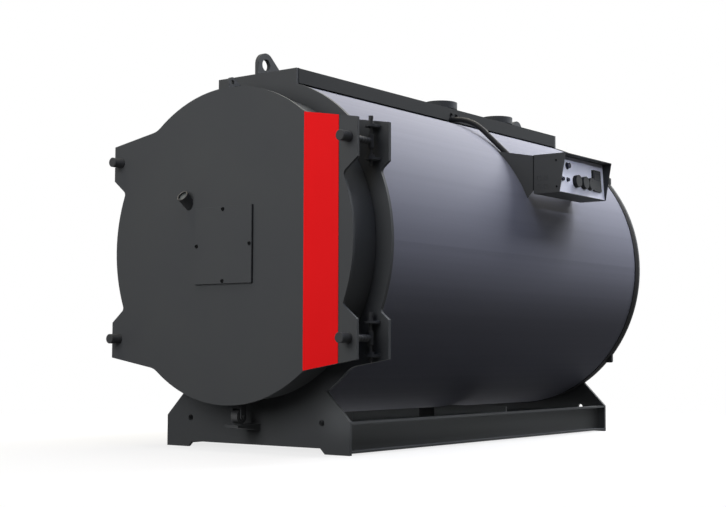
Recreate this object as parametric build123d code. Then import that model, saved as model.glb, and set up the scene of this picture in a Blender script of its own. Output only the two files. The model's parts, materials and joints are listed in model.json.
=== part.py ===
from build123d import *
import os
from math import acos, atan2, cos, hypot, isclose, pi, radians, sin, sqrt, tan

# Industrial fire-tube boiler: a lagged round shell between two laser-cut plates on a channel base,
# with a deep hinged front door. X is to the right seen from the front, Y runs from front to back,
# Z is up from the floor, and the origin is on the floor under the middle of the shell.

# Shell and end plates
body_length = 2856.0
ground_clearance = 177.0
plate_margin = 4.0
plate_thickness = 20.0
jacket_radius = 916.0
jacket_sheet = 4.0
jacket_band_width = 45.0

# Ears of the plates and of the door, heights from the hinge level
ear_above_hinge = 102.0
ear_below_hinge = 96.0
ear_inset = 20.0
ear_edge_angle = 9.8
ear_slant_angle = 39.0
ear_root_fillet = 25.0
ear_shoulder_fillet = 120.0
rear_ear_angle = 41.56
rear_ear_reach = 34.2
rear_ear_height = 68.0
rear_ear_round = 12.0

# Saddles and base channels
saddle_half_width = 655.0
saddle_side = 172.0
foot_width = 162.0
foot_cut = 30.0
foot_cut_slope = 31.0
saddle_hole_radius = 17.5
saddle_hole_x = 472.0
saddle_hole_height = 161.0
channel_height = 160.0
channel_flange = 65.0
channel_web = 7.5
channel_flange_thickness = 10.5
channel_ground_gap = 10.0
support_place = 225.0
support_inner_x = 60.0
support_rise = 30.0
support_thickness = 12.0

# Furnace, smoke tubes and rear smoke box
furnace_radius = 400.0
furnace_wall = 14.0
furnace_rear_gap = 470.0
furnace_end_thickness = 16.0
smoke_tube_radius = 38.0
smoke_tube_wall = 3.6
inner_tube_ring = 540.0
inner_tube_count = 20
outer_tube_ring = 670.0
outer_tube_count = 24
smokebox_margin = 22.0
smokebox_depth = 230.0
smokebox_wall = 8.0
flue_radius = 200.0
flue_wall = 5.0
flue_length = 160.0
flue_flange_width = 40.0
flue_flange_thickness = 10.0
flue_rise = 240.0
hatch_width = 420.0
hatch_height = 240.0
hatch_thickness = 12.0
hatch_drop = 320.0

# Top cover, lifting lugs and water nozzles
cover_half_width = 285.0
cover_rise = 45.0
cover_side = 80.0
cover_sheet = 4.0
cover_hole_radius = 9.0
cover_hole_drop = 40.0
cover_hole_offsets = (-3.0, 53.0)
lug_thickness = 25.0
lug_head_radius = 66.0
lug_hole_radius = 33.0
lug_eye_rise = 58.0
lug_base_length = 231.0
lug_slope_angle = 45.0
flow_from_rear = 1036.0
return_from_rear = 329.0
nozzle_radius = 57.15
nozzle_wall = 3.6
nozzle_flange_radius = 110.0
nozzle_flange_thickness = 46.0
nozzle_rise = 110.0
nozzle_bolt_circle = 90.0
nozzle_bolt_radius = 9.0
nozzle_bolts = 8

# Door
door_depth = 230.0
door_inset = 70.0
door_plate_thickness = 16.0
door_ear_inset = 25.0
door_gap = 6.0
drum_inset = 26.0
drum_wall = 10.0
lining_thickness = 140.0
throat_radius = 150.0
burner_x = -15.0
burner_width = 410.0
burner_height = 412.0
burner_thickness = 8.0
stripe_offset = 61.0
stripe_width = 225.0
stripe_thickness = 3.0
sight_x = -282.0
sight_rise = 241.0
sight_tilt = 36.0
sight_length = 63.0
sight_radius = 32.0
sight_bore = 26.0
sight_ring_radius = 34.0
sight_ring_length = 16.0
sight_glass_thickness = 6.0
door_lug_length = 105.0
door_lug_rise = 58.0
door_lug_thickness = 16.0
door_lug_hole = 13.0
door_lug_head_radius = 28.0
door_lug_slope_angle = 22.0
door_lug_tail = 40.0

# Hinges and closing bolts
hinge_inset = 80.0
hinge_rise = 500.0
hinge_reach = 45.0
hinge_pin_radius = 9.0
hinge_pin_head_radius = 12.5
hinge_pin_head = 45.0
hinge_pin_groove = 6.0
hinge_pin_tail = 30.0
hinge_lug_half_gap = 84.0
hinge_lug_width = 62.0
hinge_lug_thickness = 12.0
hinge_eye_radius = 15.5
hinge_eye_height = 74.0
hinge_eye_chamfer = 4.0
hinge_collar_height = 14.0
hinge_collar_radius = 20.0
bolt_radius = 14.0
bolt_lift = 4.0
bolt_room = 5.0
bolt_engagement = 6.0
lock_nut_radius = 20.0
lock_nut_length = 24.0
nut_radius = 27.0
nut_length = 74.0
nut_chamfer = 3.0
nut_bore_depth = 14.0
running_clearance = 0.05
fit_clearance = 0.3

# Door roller and its shelf
roller_radius = 38.0
roller_width = 44.0
roller_drop = 88.0
roller_back = 110.0
roller_bore_clearance = 0.05
axle_radius = 9.0
axle_head = 6.0
fork_gap = 5.0
fork_plate = 8.0
fork_width = 40.0
shelf_width = 98.0
shelf_length = 180.0
shelf_thickness = 12.0
shelf_taper = 1.0
shelf_lip = 30.0
shelf_clearance = 5.0

# Control panel on its brackets, heights from the shell's axis
panel_from_rear = 1368.0
panel_length = 595.0
panel_setback = 28.0
panel_low = 378.0
panel_high = 610.0
panel_depth_low = 174.0
panel_depth_high = 216.0
panel_face_low = 166.0
panel_face_high = 150.0
panel_sheet = 4.0
panel_face_thickness = 3.0
bracket_sheet = 5.0
bracket_low = 400.0
bracket_high = 607.0
bracket_rise_angle = 11.0
bracket_slant_angle = 45.0
conduit_radius = 16.5
conduit_drop = 73.0
conduit_offset = 30.0
conduit_clearance = 5.0
conduit_bend_share = 0.92
conduit_entry_rise = 72.0
thermostat_radius = 37.0
thermostat_length = 26.0
thermostat_row = (217.0, 310.0, 389.0)
instrument_row = 80.0
lamp_radius = 11.0
lamp_length = 12.0
lamp_row = (56.0, 116.0)
button_radius = 17.0
button_length = 18.0
button_place = (124.0, 166.0)
controller_width = 98.0
controller_height = 130.0
controller_depth = 14.0
controller_place = (479.0, 108.0)

plate_radius = jacket_radius + plate_margin
axis_height = plate_radius + ground_clearance
front_face = -body_length / 2
rear_face = body_length / 2
front_inside = front_face + plate_thickness
rear_inside = rear_face - plate_thickness
ear_high = hinge_rise + ear_above_hinge
ear_low = hinge_rise - ear_below_hinge
ear_half_width = plate_radius - ear_inset
hinge_x = ear_half_width - hinge_inset
hinge_y = front_face - hinge_reach
furnace_depth = rear_inside - furnace_rear_gap - furnace_end_thickness - front_face
cover_top = jacket_radius + cover_rise
cover_height = axis_height + cover_top
nozzle_height = cover_height + nozzle_rise
nozzle_places = {"flow_nozzle": rear_face - flow_from_rear, "return_nozzle": rear_face - return_from_rear}
door_radius = plate_radius - door_inset
drum_radius = door_radius - drum_inset
door_ear_half_width = ear_half_width - door_ear_inset
door_face = front_face - door_depth
door_inside = door_face + door_plate_thickness
panel_front = rear_face - panel_from_rear
panel_back_x = jacket_radius - panel_setback
conduit_place = panel_front + conduit_offset

nodes = {}


def upright(sketch, front, depth):
    """Extrude a sketch drawn in X and Z into a piece that runs back from front."""
    plane = Plane((0, front, 0), x_dir=(1, 0, 0), z_dir=(0, -1, 0))
    return extrude(plane * sketch, -depth)


def edgewise(sketch, middle_x, thickness):
    """Extrude a sketch drawn in Y and Z into a plate centred on middle_x."""
    plane = Plane((middle_x, 0, 0), x_dir=(0, 1, 0), z_dir=(1, 0, 0))
    return extrude(plane * sketch, thickness / 2, both=True)


def level(sketch, bottom, height):
    """Extrude a sketch drawn in X and Y upwards from bottom."""
    return extrude(Pos(0, 0, bottom) * sketch, height)


def outline(*points):
    return make_face(Polyline(*points, close=True))


def ring(outer, inner):
    return Circle(outer) - Circle(inner)


def on_axis(sketch):
    """Move a sketch drawn about the shell's axis to the axis height."""
    return Pos(0, axis_height) * sketch


def mirrored(points):
    return [(-x, z) for x, z in points]


def shell_bore(clearance=fit_clearance):
    """The round space that the jacket fills, for seating pieces on it."""
    return upright(on_axis(Circle(jacket_radius + clearance)), front_face, body_length)


def ear_edge(x, half_width):
    """Height of an ear's long edge over the axis at x."""
    return ear_high + (half_width - x) * tan(radians(ear_edge_angle))


def rim_corners(plate, radius):
    return [v for v in plate.vertices() if isclose(hypot(v.X, v.Y), radius, rel_tol=1e-4)]


def plate_with_ears(radius, half_width):
    """Round plate with four ears, drawn about the shell's axis."""
    inner_x = radius / 2
    slant_z = ear_low - (half_width - inner_x) * tan(radians(ear_slant_angle))
    corner = [(half_width, ear_high), (half_width, ear_low), (inner_x, slant_z),
              (inner_x, ear_edge(inner_x, half_width))]
    plate = Circle(radius)
    for side in (1, -1):
        for rise in (1, -1):
            plate += outline(*[(side * x, rise * z) for x, z in corner])
    plate = fillet([v for v in rim_corners(plate, radius) if abs(v.Y) > ear_high], ear_shoulder_fillet)
    return fillet([v for v in rim_corners(plate, radius) if abs(v.Y) < ear_low], ear_root_fillet)


def rear_ears():
    """Four small ears of the rear plate, each a rounded tab whose outer corner stands out of the rim."""
    reach = plate_radius + rear_ear_reach
    corner_x = reach * cos(radians(rear_ear_angle))
    corner_z = reach * sin(radians(rear_ear_angle))
    width = corner_x / 2
    ear = RectangleRounded(width, rear_ear_height, rear_ear_round)
    for side in (1, -1):
        for rise in (1, -1):
            yield Pos(side * (corner_x - width / 2), rise * (corner_z - rear_ear_height / 2)) * ear


def saddle():
    """Foot of an end plate, drawn from the floor."""
    inner = saddle_half_width - foot_width
    slope_x = saddle_half_width / 2
    slope_z = saddle_side + saddle_half_width - slope_x
    right = [(inner - foot_cut_slope, foot_cut), (inner, 0), (saddle_half_width, 0),
             (saddle_half_width, saddle_side), (slope_x, slope_z)]
    left = mirrored(reversed(right))
    foot = outline(*right, *left)
    holes = [Pos(s * saddle_hole_x, saddle_hole_height) * Circle(saddle_hole_radius) for s in (1, -1)]
    return foot, holes


def tab():
    half = cover_half_width
    return outline((-half, 0), (half, 0), (half, cover_top), (-half, cover_top))


def smoke_tube_places():
    for radius, count in ((inner_tube_ring, inner_tube_count), (outer_tube_ring, outer_tube_count)):
        yield from PolarLocations(radius, count, start_angle=180 / count)


def smoke_tube_holes():
    for place in smoke_tube_places():
        yield on_axis(place * Circle(smoke_tube_radius + fit_clearance))


def make_end_plates():
    foot, holes = saddle()
    front = on_axis(plate_with_ears(plate_radius, ear_half_width) + tab()) + foot
    front -= on_axis(Circle(furnace_radius + fit_clearance))
    rear = Circle(plate_radius) + tab()
    for ear in rear_ears():
        rear += ear
    rear = on_axis(rear) + foot
    for hole in [*holes, *smoke_tube_holes()]:
        front -= hole
        rear -= hole
    nodes["front_plate"] = upright(front, front_face, plate_thickness)
    nodes["rear_plate"] = upright(rear, rear_inside, plate_thickness)


def make_jacket():
    whole = upright(on_axis(ring(jacket_radius, jacket_radius - jacket_sheet)), front_inside,
                    rear_inside - front_inside)
    reach = 2 * jacket_radius
    box = Box(reach, 2 * body_length, reach)
    for name, side, rise in (("jacket_upper_right", 1, 1), ("jacket_upper_left", -1, 1),
                             ("jacket_lower_left", -1, -1), ("jacket_lower_right", 1, -1)):
        nodes[name] = whole & Pos(side * reach / 2, 0, axis_height + rise * reach / 2) * box
    band = ring(plate_radius, jacket_radius + fit_clearance)
    nodes["rear_jacket_band"] = upright(on_axis(band), rear_inside - jacket_band_width, jacket_band_width)


def make_furnace():
    tube = ring(furnace_radius, furnace_radius - furnace_wall)
    nodes["furnace_tube"] = upright(on_axis(tube), front_face, furnace_depth)
    nodes["furnace_end"] = upright(on_axis(Circle(furnace_radius)), front_face + furnace_depth,
                                   furnace_end_thickness)
    tube = ring(smoke_tube_radius, smoke_tube_radius - smoke_tube_wall)
    tubes = [upright(on_axis(place * tube), front_face, body_length) for place in smoke_tube_places()]
    nodes["smoke_tubes"] = Compound(children=tubes)


def make_smokebox():
    back = rear_face + smokebox_depth
    smokebox_radius = outer_tube_ring + smoke_tube_radius + smokebox_margin
    wall = ring(smokebox_radius, smokebox_radius - smokebox_wall)
    nodes["smokebox_wall"] = upright(on_axis(wall), rear_face, smokebox_depth)
    flue = Pos(0, flue_rise)
    plate = Circle(smokebox_radius) - flue * Circle(flue_radius - flue_wall)
    nodes["smokebox_back"] = upright(on_axis(plate), back, smokebox_wall)
    collar_start = back + smokebox_wall
    collar = upright(on_axis(flue * ring(flue_radius, flue_radius - flue_wall)), collar_start, flue_length)
    flange = ring(flue_radius + flue_flange_width, flue_radius - flue_wall)
    collar += upright(on_axis(flue * flange), collar_start + flue_length - flue_flange_thickness,
                      flue_flange_thickness)
    nodes["flue_outlet"] = collar
    hatch = Pos(0, -hatch_drop) * RectangleRounded(hatch_width, hatch_height, hatch_thickness)
    nodes["cleaning_hatch"] = upright(on_axis(hatch), collar_start, hatch_thickness)


def make_base():
    low = channel_ground_gap
    high = low + channel_height
    web_x = saddle_half_width - channel_flange
    inner_low = low + channel_flange_thickness
    inner_high = high - channel_flange_thickness
    web = web_x + channel_web
    profile = [(web_x, low), (saddle_half_width, low), (saddle_half_width, inner_low), (web, inner_low),
               (web, inner_high), (saddle_half_width, inner_high), (saddle_half_width, high), (web_x, high)]
    length = rear_inside - front_inside
    nodes["right_base_channel"] = upright(outline(*profile), front_inside, length)
    nodes["left_base_channel"] = upright(outline(*mirrored(profile)), front_inside, length)
    top = high + support_rise
    support = [(support_inner_x, low), (web_x, low), (web_x, top), (support_inner_x, top)]
    for name, points in (("right_shell_support", support), ("left_shell_support", mirrored(support))):
        nodes[name] = upright(outline(*points), support_place, support_thickness) - shell_bore()


def make_cover():
    half = cover_half_width
    low = cover_height - cover_side
    sheet = cover_sheet
    profile = outline((-half, low), (-half, cover_height), (half, cover_height), (half, low),
                      (half - sheet, low), (half - sheet, cover_height - sheet),
                      (sheet - half, cover_height - sheet), (sheet - half, low))
    cover = upright(profile, front_inside, rear_inside - front_inside)
    for place in nozzle_places.values():
        cover -= level(Pos(0, place) * Circle(nozzle_radius + fit_clearance), low, 2 * cover_side)
    for offset in cover_hole_offsets:
        hole = Pos(conduit_place + offset, cover_height - cover_hole_drop) * Circle(cover_hole_radius)
        cover -= edgewise(hole, half, 2 * half)
    nodes["top_cover"] = cover


def lifting_lug(edge, back):
    """Plate with a round eye at the end at edge and a sloped tail that runs towards back."""
    eye_y = edge + back * lug_head_radius
    eye_z = cover_height + lug_eye_rise
    base_end = edge + back * lug_base_length
    slope = radians(lug_slope_angle)
    shoulder = (eye_y + back * lug_head_radius * sin(slope), eye_z + lug_head_radius * cos(slope))
    foot = (base_end, cover_height)
    body = outline((edge, cover_height), (edge, eye_z), (eye_y, eye_z), shoulder, foot)
    profile = body + Pos(eye_y, eye_z) * Circle(lug_head_radius) - Pos(eye_y, eye_z) * Circle(lug_hole_radius)
    below = Pos(eye_y, cover_height - lug_base_length) * Rectangle(2 * lug_base_length, 2 * lug_base_length)
    return edgewise(profile - below, 0, lug_thickness)


def make_lifting_lugs():
    nodes["front_lifting_lug"] = lifting_lug(front_face, 1)
    nodes["rear_lifting_lug"] = lifting_lug(rear_face, -1)


def make_nozzles():
    inside = nozzle_radius - nozzle_wall
    for name, place in nozzle_places.items():
        neck = level(Pos(0, place) * ring(nozzle_radius, inside), axis_height, nozzle_height - axis_height)
        flange = Pos(0, place) * ring(nozzle_flange_radius, inside)
        for spot in PolarLocations(nozzle_bolt_circle, nozzle_bolts, start_angle=180 / nozzle_bolts):
            flange -= Pos(0, place) * spot * Circle(nozzle_bolt_radius)
        neck += level(flange, nozzle_height - nozzle_flange_thickness, nozzle_flange_thickness)
        nodes[name] = neck - shell_bore()


def make_door():
    plate = plate_with_ears(door_radius, door_ear_half_width) - Circle(throat_radius)
    slot_half = bolt_radius + bolt_room
    for height in bolt_levels():
        plate -= Pos(hinge_x, height - axis_height) * Circle(bolt_radius + fit_clearance)
        middle = height - axis_height
        plate -= Pos(-hinge_x, middle) * Circle(slot_half)
        plate -= outline((-hinge_x, middle - slot_half), (-hinge_x, middle + slot_half),
                         (-ear_half_width, middle + slot_half), (-ear_half_width, middle - slot_half))
    nodes["door_plate"] = upright(on_axis(plate), door_face, door_plate_thickness)
    drum_depth = front_face - door_gap - door_inside
    drum = ring(drum_radius, drum_radius - drum_wall)
    nodes["door_drum"] = upright(on_axis(drum), door_inside, drum_depth)
    lining = ring(drum_radius - drum_wall - fit_clearance, throat_radius)
    nodes["door_lining"] = upright(on_axis(lining), door_inside, lining_thickness)
    blank = Pos(burner_x, 0) * Rectangle(burner_width, burner_height)
    nodes["burner_plate"] = upright(on_axis(blank), door_face - burner_thickness, burner_thickness)
    outer_x = hinge_x - stripe_offset
    inner_x = outer_x - stripe_width
    inner_top = ear_edge(inner_x, door_ear_half_width)
    outer_top = ear_edge(outer_x, door_ear_half_width)
    stripe = outline((inner_x, inner_top), (outer_x, outer_top), (outer_x, -outer_top), (inner_x, -inner_top))
    nodes["door_stripe"] = upright(on_axis(stripe), door_face - stripe_thickness, stripe_thickness)


def make_sight_tube():
    axis = Vector(0, -cos(radians(sight_tilt)), sin(radians(sight_tilt)))
    base = Vector(sight_x, door_face, axis_height + sight_rise)
    start = Plane(base - axis * sight_radius, z_dir=axis)
    length = sight_length + sight_radius
    tube = extrude(start * Circle(sight_radius), length)
    collar = Plane(base + axis * (sight_length - sight_ring_length), z_dir=axis)
    tube += extrude(collar * Circle(sight_ring_radius), sight_ring_length)
    tube -= extrude(start * Circle(sight_bore), length)
    room = 4 * sight_length
    behind = Pos(sight_x, door_face + room / 2, axis_height + sight_rise) * Box(room, room, room)
    nodes["sight_tube"] = tube - behind
    glass = Plane(base + axis * (sight_length - sight_ring_length), z_dir=axis)
    nodes["sight_glass"] = extrude(glass * Circle(sight_bore - fit_clearance), sight_glass_thickness)


def make_door_lug():
    rim = axis_height + sqrt(door_radius ** 2 - (door_lug_thickness / 2) ** 2)
    wall = axis_height + drum_radius
    top = rim + door_lug_rise
    back = door_face + door_lug_length
    head = door_lug_head_radius
    eye = (door_face + head, top - head)
    slope = radians(door_lug_slope_angle)
    shoulder = (eye[0] + head * sin(slope), eye[1] + head * cos(slope))
    profile = outline((door_face, rim + fit_clearance), (door_face, eye[1]), eye, shoulder,
                      (back, wall + door_lug_tail), (back, wall - drum_wall),
                      (door_inside, wall - drum_wall), (door_inside, rim + fit_clearance))
    profile += Pos(*eye) * Circle(head)
    profile -= Pos(*eye) * Circle(door_lug_hole)
    lug = edgewise(profile, 0, door_lug_thickness)
    lug -= upright(on_axis(Circle(drum_radius + fit_clearance)), door_face, door_depth)
    lug -= upright(on_axis(Circle(door_radius + fit_clearance)), door_face, door_plate_thickness)
    nodes["door_lifting_lug"] = lug


def hinge_levels():
    for rise in (1, -1):
        yield axis_height + rise * hinge_rise


def bolt_levels():
    for z in hinge_levels():
        yield z + bolt_lift


def eyebolt(x, z, lock_gap):
    """Hinge eye on the pin, with a shank that runs forward past its lock nut and the door's ear."""
    eye_low = z - hinge_eye_height / 2
    eye = level(Pos(x, hinge_y) * Circle(hinge_eye_radius), eye_low, hinge_eye_height)
    eye = chamfer(eye.edges().filter_by(GeomType.CIRCLE), hinge_eye_chamfer)
    shank_front = door_face - bolt_engagement
    eye += upright(Pos(x, z) * Circle(bolt_radius), shank_front, hinge_y - shank_front)
    eye += upright(Pos(x, z) * Circle(lock_nut_radius), door_inside + lock_gap, lock_nut_length)
    bore = Circle(hinge_pin_radius + running_clearance)
    return eye - level(Pos(x, hinge_y) * bore, eye_low, hinge_eye_height)


def hinge_pin(x, z):
    """Pin with a grooved head over the upper lug and a collar that rests on the lower one."""
    above = hinge_lug_half_gap + hinge_lug_thickness / 2
    bottom = z - above - hinge_pin_tail
    pin = level(Pos(x, hinge_y) * Circle(hinge_pin_radius), bottom, z + above + hinge_pin_head - bottom)
    half_head = (hinge_pin_head - hinge_pin_groove) / 2
    for start in (z + above, z + above + half_head + hinge_pin_groove):
        pin += level(Pos(x, hinge_y) * Circle(hinge_pin_head_radius), start, half_head)
    collar = z - hinge_lug_half_gap + hinge_lug_thickness / 2
    pin += level(Pos(x, hinge_y) * Circle(hinge_collar_radius), collar, hinge_collar_height)
    return pin


def hinge_lugs(x, z):
    half = hinge_lug_width / 2
    shape = Pos(x, hinge_y) * Circle(half)
    shape += outline((x - half, hinge_y), (x + half, hinge_y), (x + half, front_face), (x - half, front_face))
    shape -= Pos(x, hinge_y) * Circle(hinge_pin_radius + fit_clearance)
    for side in (1, -1):
        yield level(shape, z + side * hinge_lug_half_gap - hinge_lug_thickness / 2, hinge_lug_thickness)


def nut(x, z):
    start = door_face - nut_length
    body = upright(Pos(x, z) * Circle(nut_radius), start, nut_length)
    body = chamfer(body.edges().group_by(Axis.Y)[0], nut_chamfer)
    bore = Circle(bolt_radius + bolt_room)
    return body - upright(Pos(x, z) * bore, door_face - nut_bore_depth, nut_bore_depth)


def make_hinges():
    for name, x, lock_gap in (("right", hinge_x, fit_clearance), ("left", -hinge_x, bolt_room)):
        lugs = [lug for z in hinge_levels() for lug in hinge_lugs(x, z)]
        nodes[f"{name}_hinge_lugs"] = Compound(children=lugs)
        nodes[f"{name}_hinge_pins"] = Compound(children=[hinge_pin(x, z) for z in hinge_levels()])
        nodes[f"{name}_eyebolts"] = Compound(children=[eyebolt(x, z, lock_gap) for z in bolt_levels()])
        nodes[f"{name}_nuts"] = Compound(children=[nut(x, z) for z in bolt_levels()])


def make_roller():
    middle = (door_face + roller_back, axis_height - drum_radius - roller_drop)
    half = roller_width / 2
    wheel = ring(roller_radius, axle_radius + roller_bore_clearance)
    nodes["door_roller"] = edgewise(Pos(*middle) * wheel, 0, roller_width)
    cheek = Pos(*middle) * Circle(fork_width / 2)
    cheek += outline((middle[0] - fork_width / 2, middle[1]), (middle[0] + fork_width / 2, middle[1]),
                     (middle[0] + fork_width / 2, axis_height), (middle[0] - fork_width / 2, axis_height))
    fork = None
    for side in (1, -1):
        plate = edgewise(cheek, side * (half + fork_gap + fork_plate / 2), fork_plate)
        fork = plate if fork is None else fork + plate
    bridge_low = middle[1] + roller_radius + fork_gap
    bridge = outline((middle[0] - fork_width / 2, bridge_low), (middle[0] + fork_width / 2, bridge_low),
                     (middle[0] + fork_width / 2, axis_height), (middle[0] - fork_width / 2, axis_height))
    fork += edgewise(bridge, 0, 2 * (half + fork_gap))
    reach = half + fork_gap + fork_plate + axle_head
    fork += edgewise(Pos(*middle) * Circle(axle_radius), 0, 2 * reach)
    keep = upright(on_axis(Circle(drum_radius + fit_clearance)), door_face, door_depth)
    nodes["roller_fork"] = fork - keep
    top = middle[1] - roller_radius - shelf_clearance
    back = front_face
    front = back - shelf_length
    profile = outline((front, top), (back, top), (back, top - shelf_lip), (back - shelf_lip, top - shelf_lip),
                      (front + shelf_thickness, top - shelf_thickness - shelf_taper),
                      (front, top - shelf_thickness))
    nodes["roller_shelf"] = edgewise(profile, 0, shelf_width)


def make_panel():
    low = axis_height + panel_low
    high = axis_height + panel_high
    back = panel_back_x
    sheet = panel_sheet
    section = outline((back, low), (back + panel_depth_low, low), (back + panel_depth_high, high),
                      (back, high))
    pocket = outline((back + panel_face_low, low + sheet), (back + 2 * panel_depth_high, low + sheet),
                     (back + 2 * panel_depth_high, high - sheet), (back + panel_face_high, high - sheet))
    housing = upright(section, panel_front, panel_length)
    nodes["panel_housing"] = housing - upright(pocket, panel_front + sheet, panel_length - 2 * sheet)
    rise = high - low - 2 * sheet
    lean = Vector(panel_face_high - panel_face_low, 0, rise).normalized()
    corner = Vector(back + panel_face_low, panel_front + sheet, low + sheet)
    normal = Vector(0, 1, 0).cross(lean)
    face = Plane(corner, x_dir=(0, 1, 0), z_dir=normal)
    width = panel_length - 2 * sheet
    height = hypot(panel_face_high - panel_face_low, rise) - panel_face_thickness
    sheet_face = Pos(width / 2, height / 2) * Rectangle(width - 2 * fit_clearance, height - 2 * fit_clearance)
    nodes["panel_face"] = extrude(face * sheet_face, panel_face_thickness)
    front = Plane(corner + normal * panel_face_thickness, x_dir=(0, 1, 0), z_dir=normal)
    nodes["panel_thermostats"] = Compound(children=[
        extrude(front * Pos(y, instrument_row) * Circle(thermostat_radius), thermostat_length)
        for y in thermostat_row])
    nodes["panel_lamps"] = Compound(children=[
        extrude(front * Pos(y, instrument_row) * Circle(lamp_radius), lamp_length) for y in lamp_row])
    nodes["panel_button"] = extrude(front * Pos(*button_place) * Circle(button_radius), button_length)
    unit = Pos(*controller_place) * Rectangle(controller_width, controller_height)
    nodes["panel_controller"] = extrude(front * unit, controller_depth)


def make_brackets():
    top = axis_height + bracket_high
    low = axis_height + bracket_low
    inner_top = top + panel_back_x * tan(radians(bracket_rise_angle))
    inner_low = low - panel_back_x * tan(radians(bracket_slant_angle))
    for name, place, foot in (("front_panel_bracket", panel_front, inner_low),
                              ("rear_panel_bracket", panel_front + panel_length - bracket_sheet, low)):
        shape = outline((panel_back_x, low), (panel_back_x, top), (0, inner_top), (0, foot))
        plate = upright(shape, place, bracket_sheet) - shell_bore()
        nodes[name] = plate.solids().sort_by(Axis.X)[-1]


def make_conduit():
    level_rise = cover_top - conduit_drop
    entry_rise = panel_low + conduit_entry_rise
    around = jacket_radius + conduit_radius + conduit_clearance
    touch = atan2(entry_rise, panel_back_x) + acos(around / hypot(panel_back_x, entry_rise))
    corner_x = around * cos(touch) - (level_rise - around * sin(touch)) * tan(touch)
    end_x = panel_back_x + 2 * conduit_radius
    end_rise = entry_rise - (end_x - panel_back_x) / tan(touch)
    bend = conduit_bend_share * (corner_x - cover_half_width) / tan((pi / 2 - touch) / 2)
    plane = Plane((0, conduit_place, axis_height), x_dir=(1, 0, 0), z_dir=(0, -1, 0))
    path = plane * FilletPolyline((cover_half_width, level_rise), (corner_x, level_rise), (end_x, end_rise),
                                  radius=bend)
    section = Plane(path @ 0, z_dir=path % 0) * Circle(conduit_radius)
    pipe = sweep(section, path)
    room = Box(body_length, body_length, 2 * axis_height)
    nodes["cable_conduit"] = pipe - Pos(panel_back_x + body_length / 2, 0, axis_height) * room


make_end_plates()
make_jacket()
make_furnace()
make_smokebox()
make_base()
make_cover()
make_lifting_lugs()
make_nozzles()
make_door()
make_sight_tube()
make_door_lug()
make_hinges()
make_roller()
make_panel()
make_brackets()
make_conduit()

os.makedirs("parts", exist_ok=True)
for name, piece in nodes.items():
    export_step(piece, f"parts/{name}.step")
print(len(nodes), "nodes written")
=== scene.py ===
import json
import math

import bpy
from mathutils import Euler, Matrix, Vector


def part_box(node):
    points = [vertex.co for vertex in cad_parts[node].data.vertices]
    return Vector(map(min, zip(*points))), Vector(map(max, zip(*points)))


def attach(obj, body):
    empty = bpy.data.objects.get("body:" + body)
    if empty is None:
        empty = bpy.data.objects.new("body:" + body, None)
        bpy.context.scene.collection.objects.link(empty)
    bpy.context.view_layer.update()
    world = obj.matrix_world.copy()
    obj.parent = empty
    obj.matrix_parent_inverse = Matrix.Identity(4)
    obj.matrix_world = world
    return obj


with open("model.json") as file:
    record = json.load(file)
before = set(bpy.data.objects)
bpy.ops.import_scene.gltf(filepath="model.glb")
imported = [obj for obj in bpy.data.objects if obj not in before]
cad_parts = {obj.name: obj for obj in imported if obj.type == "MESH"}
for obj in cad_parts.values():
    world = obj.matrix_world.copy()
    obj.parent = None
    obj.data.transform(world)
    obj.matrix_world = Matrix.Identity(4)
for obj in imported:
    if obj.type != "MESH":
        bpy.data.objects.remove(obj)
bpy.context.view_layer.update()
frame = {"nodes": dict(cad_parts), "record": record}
nodes = frame["nodes"]
slotOf = {part["node"]: part["material_slot"] for part in frame["record"]["subparts"]}
print("frame loaded:", len(nodes), "nodes")


# Small helpers

def mm(value):
    return value / 1000


def srgb(code):                                      # hex code to linear light
    channels = [int(code[i:i + 2], 16) / 255 for i in (1, 3, 5)]
    return tuple(c / 12.92 if c <= 0.04045 else ((c + 0.055) / 1.055) ** 2.4 for c in channels) + (1,)


# settings go by property or socket, links by the socket's name or, as _0, its number
def addNode(tree, kind, settings=None, **links):
    node = tree.nodes.new(kind)
    for name, value in (settings or {}).items():
        if isinstance(name, str) and hasattr(node, name):
            setattr(node, name, value)
        else:
            node.inputs[name].default_value = value
    for name, source in links.items():
        socket = node.inputs[int(name[1:])] if name[1:].isdigit() else node.inputs[name.replace("_", " ")]
        tree.links.new(source, socket)
    return node


def perMetre(sizeMm):
    return 1000 / sizeMm                             # noise scale for features of this size


squareCorners = [(-1, -1), (1, -1), (1, 1), (-1, 1)]


# Materials

surface = {"noiseLow": 0.3, "noiseHigh": 0.7,        # what a noise mostly fills
           "driftDetail": 3.0, "peelDetail": 2.0, "glossDrift": 0.05, "peelStrength": 0.25}


def newMaterial(name):
    material = bpy.data.materials.new(name)
    material.use_nodes = True
    tree = material.node_tree
    tree.nodes.clear()
    output = tree.nodes.new("ShaderNodeOutputMaterial")
    shader = tree.nodes.new("ShaderNodeBsdfPrincipled")
    tree.links.new(shader.outputs["BSDF"], output.inputs["Surface"])
    return material, tree, shader


def setShader(shader, settings):
    for name, value in settings.items():
        shader.inputs[name].default_value = value


def objectPlace(tree, stretch=(1, 1, 1)):
    place = addNode(tree, "ShaderNodeTexCoord")
    return addNode(tree, "ShaderNodeMapping", {"Scale": stretch}, Vector=place.outputs["Object"])


# a slow noise drifts between the two hex colours of the settings
def driftingTone(tree, shader, place, spec):
    noise = addNode(tree, "ShaderNodeTexNoise", {
        "Scale": perMetre(spec["driftMm"]), "Detail": surface["driftDetail"]},
        Vector=place.outputs["Vector"])
    spread = addNode(tree, "ShaderNodeMapRange", {
        "From Min": surface["noiseLow"], "From Max": surface["noiseHigh"]}, Value=noise.outputs["Fac"])
    tone = addNode(tree, "ShaderNodeMix", {          # 6 and 7 are its two colours
        "data_type": "RGBA", 6: srgb(spec["dark"]), 7: srgb(spec["light"])},
        Factor=spread.outputs["Result"])
    tree.links.new(tone.outputs[2], shader.inputs["Base Color"])
    return noise


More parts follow.
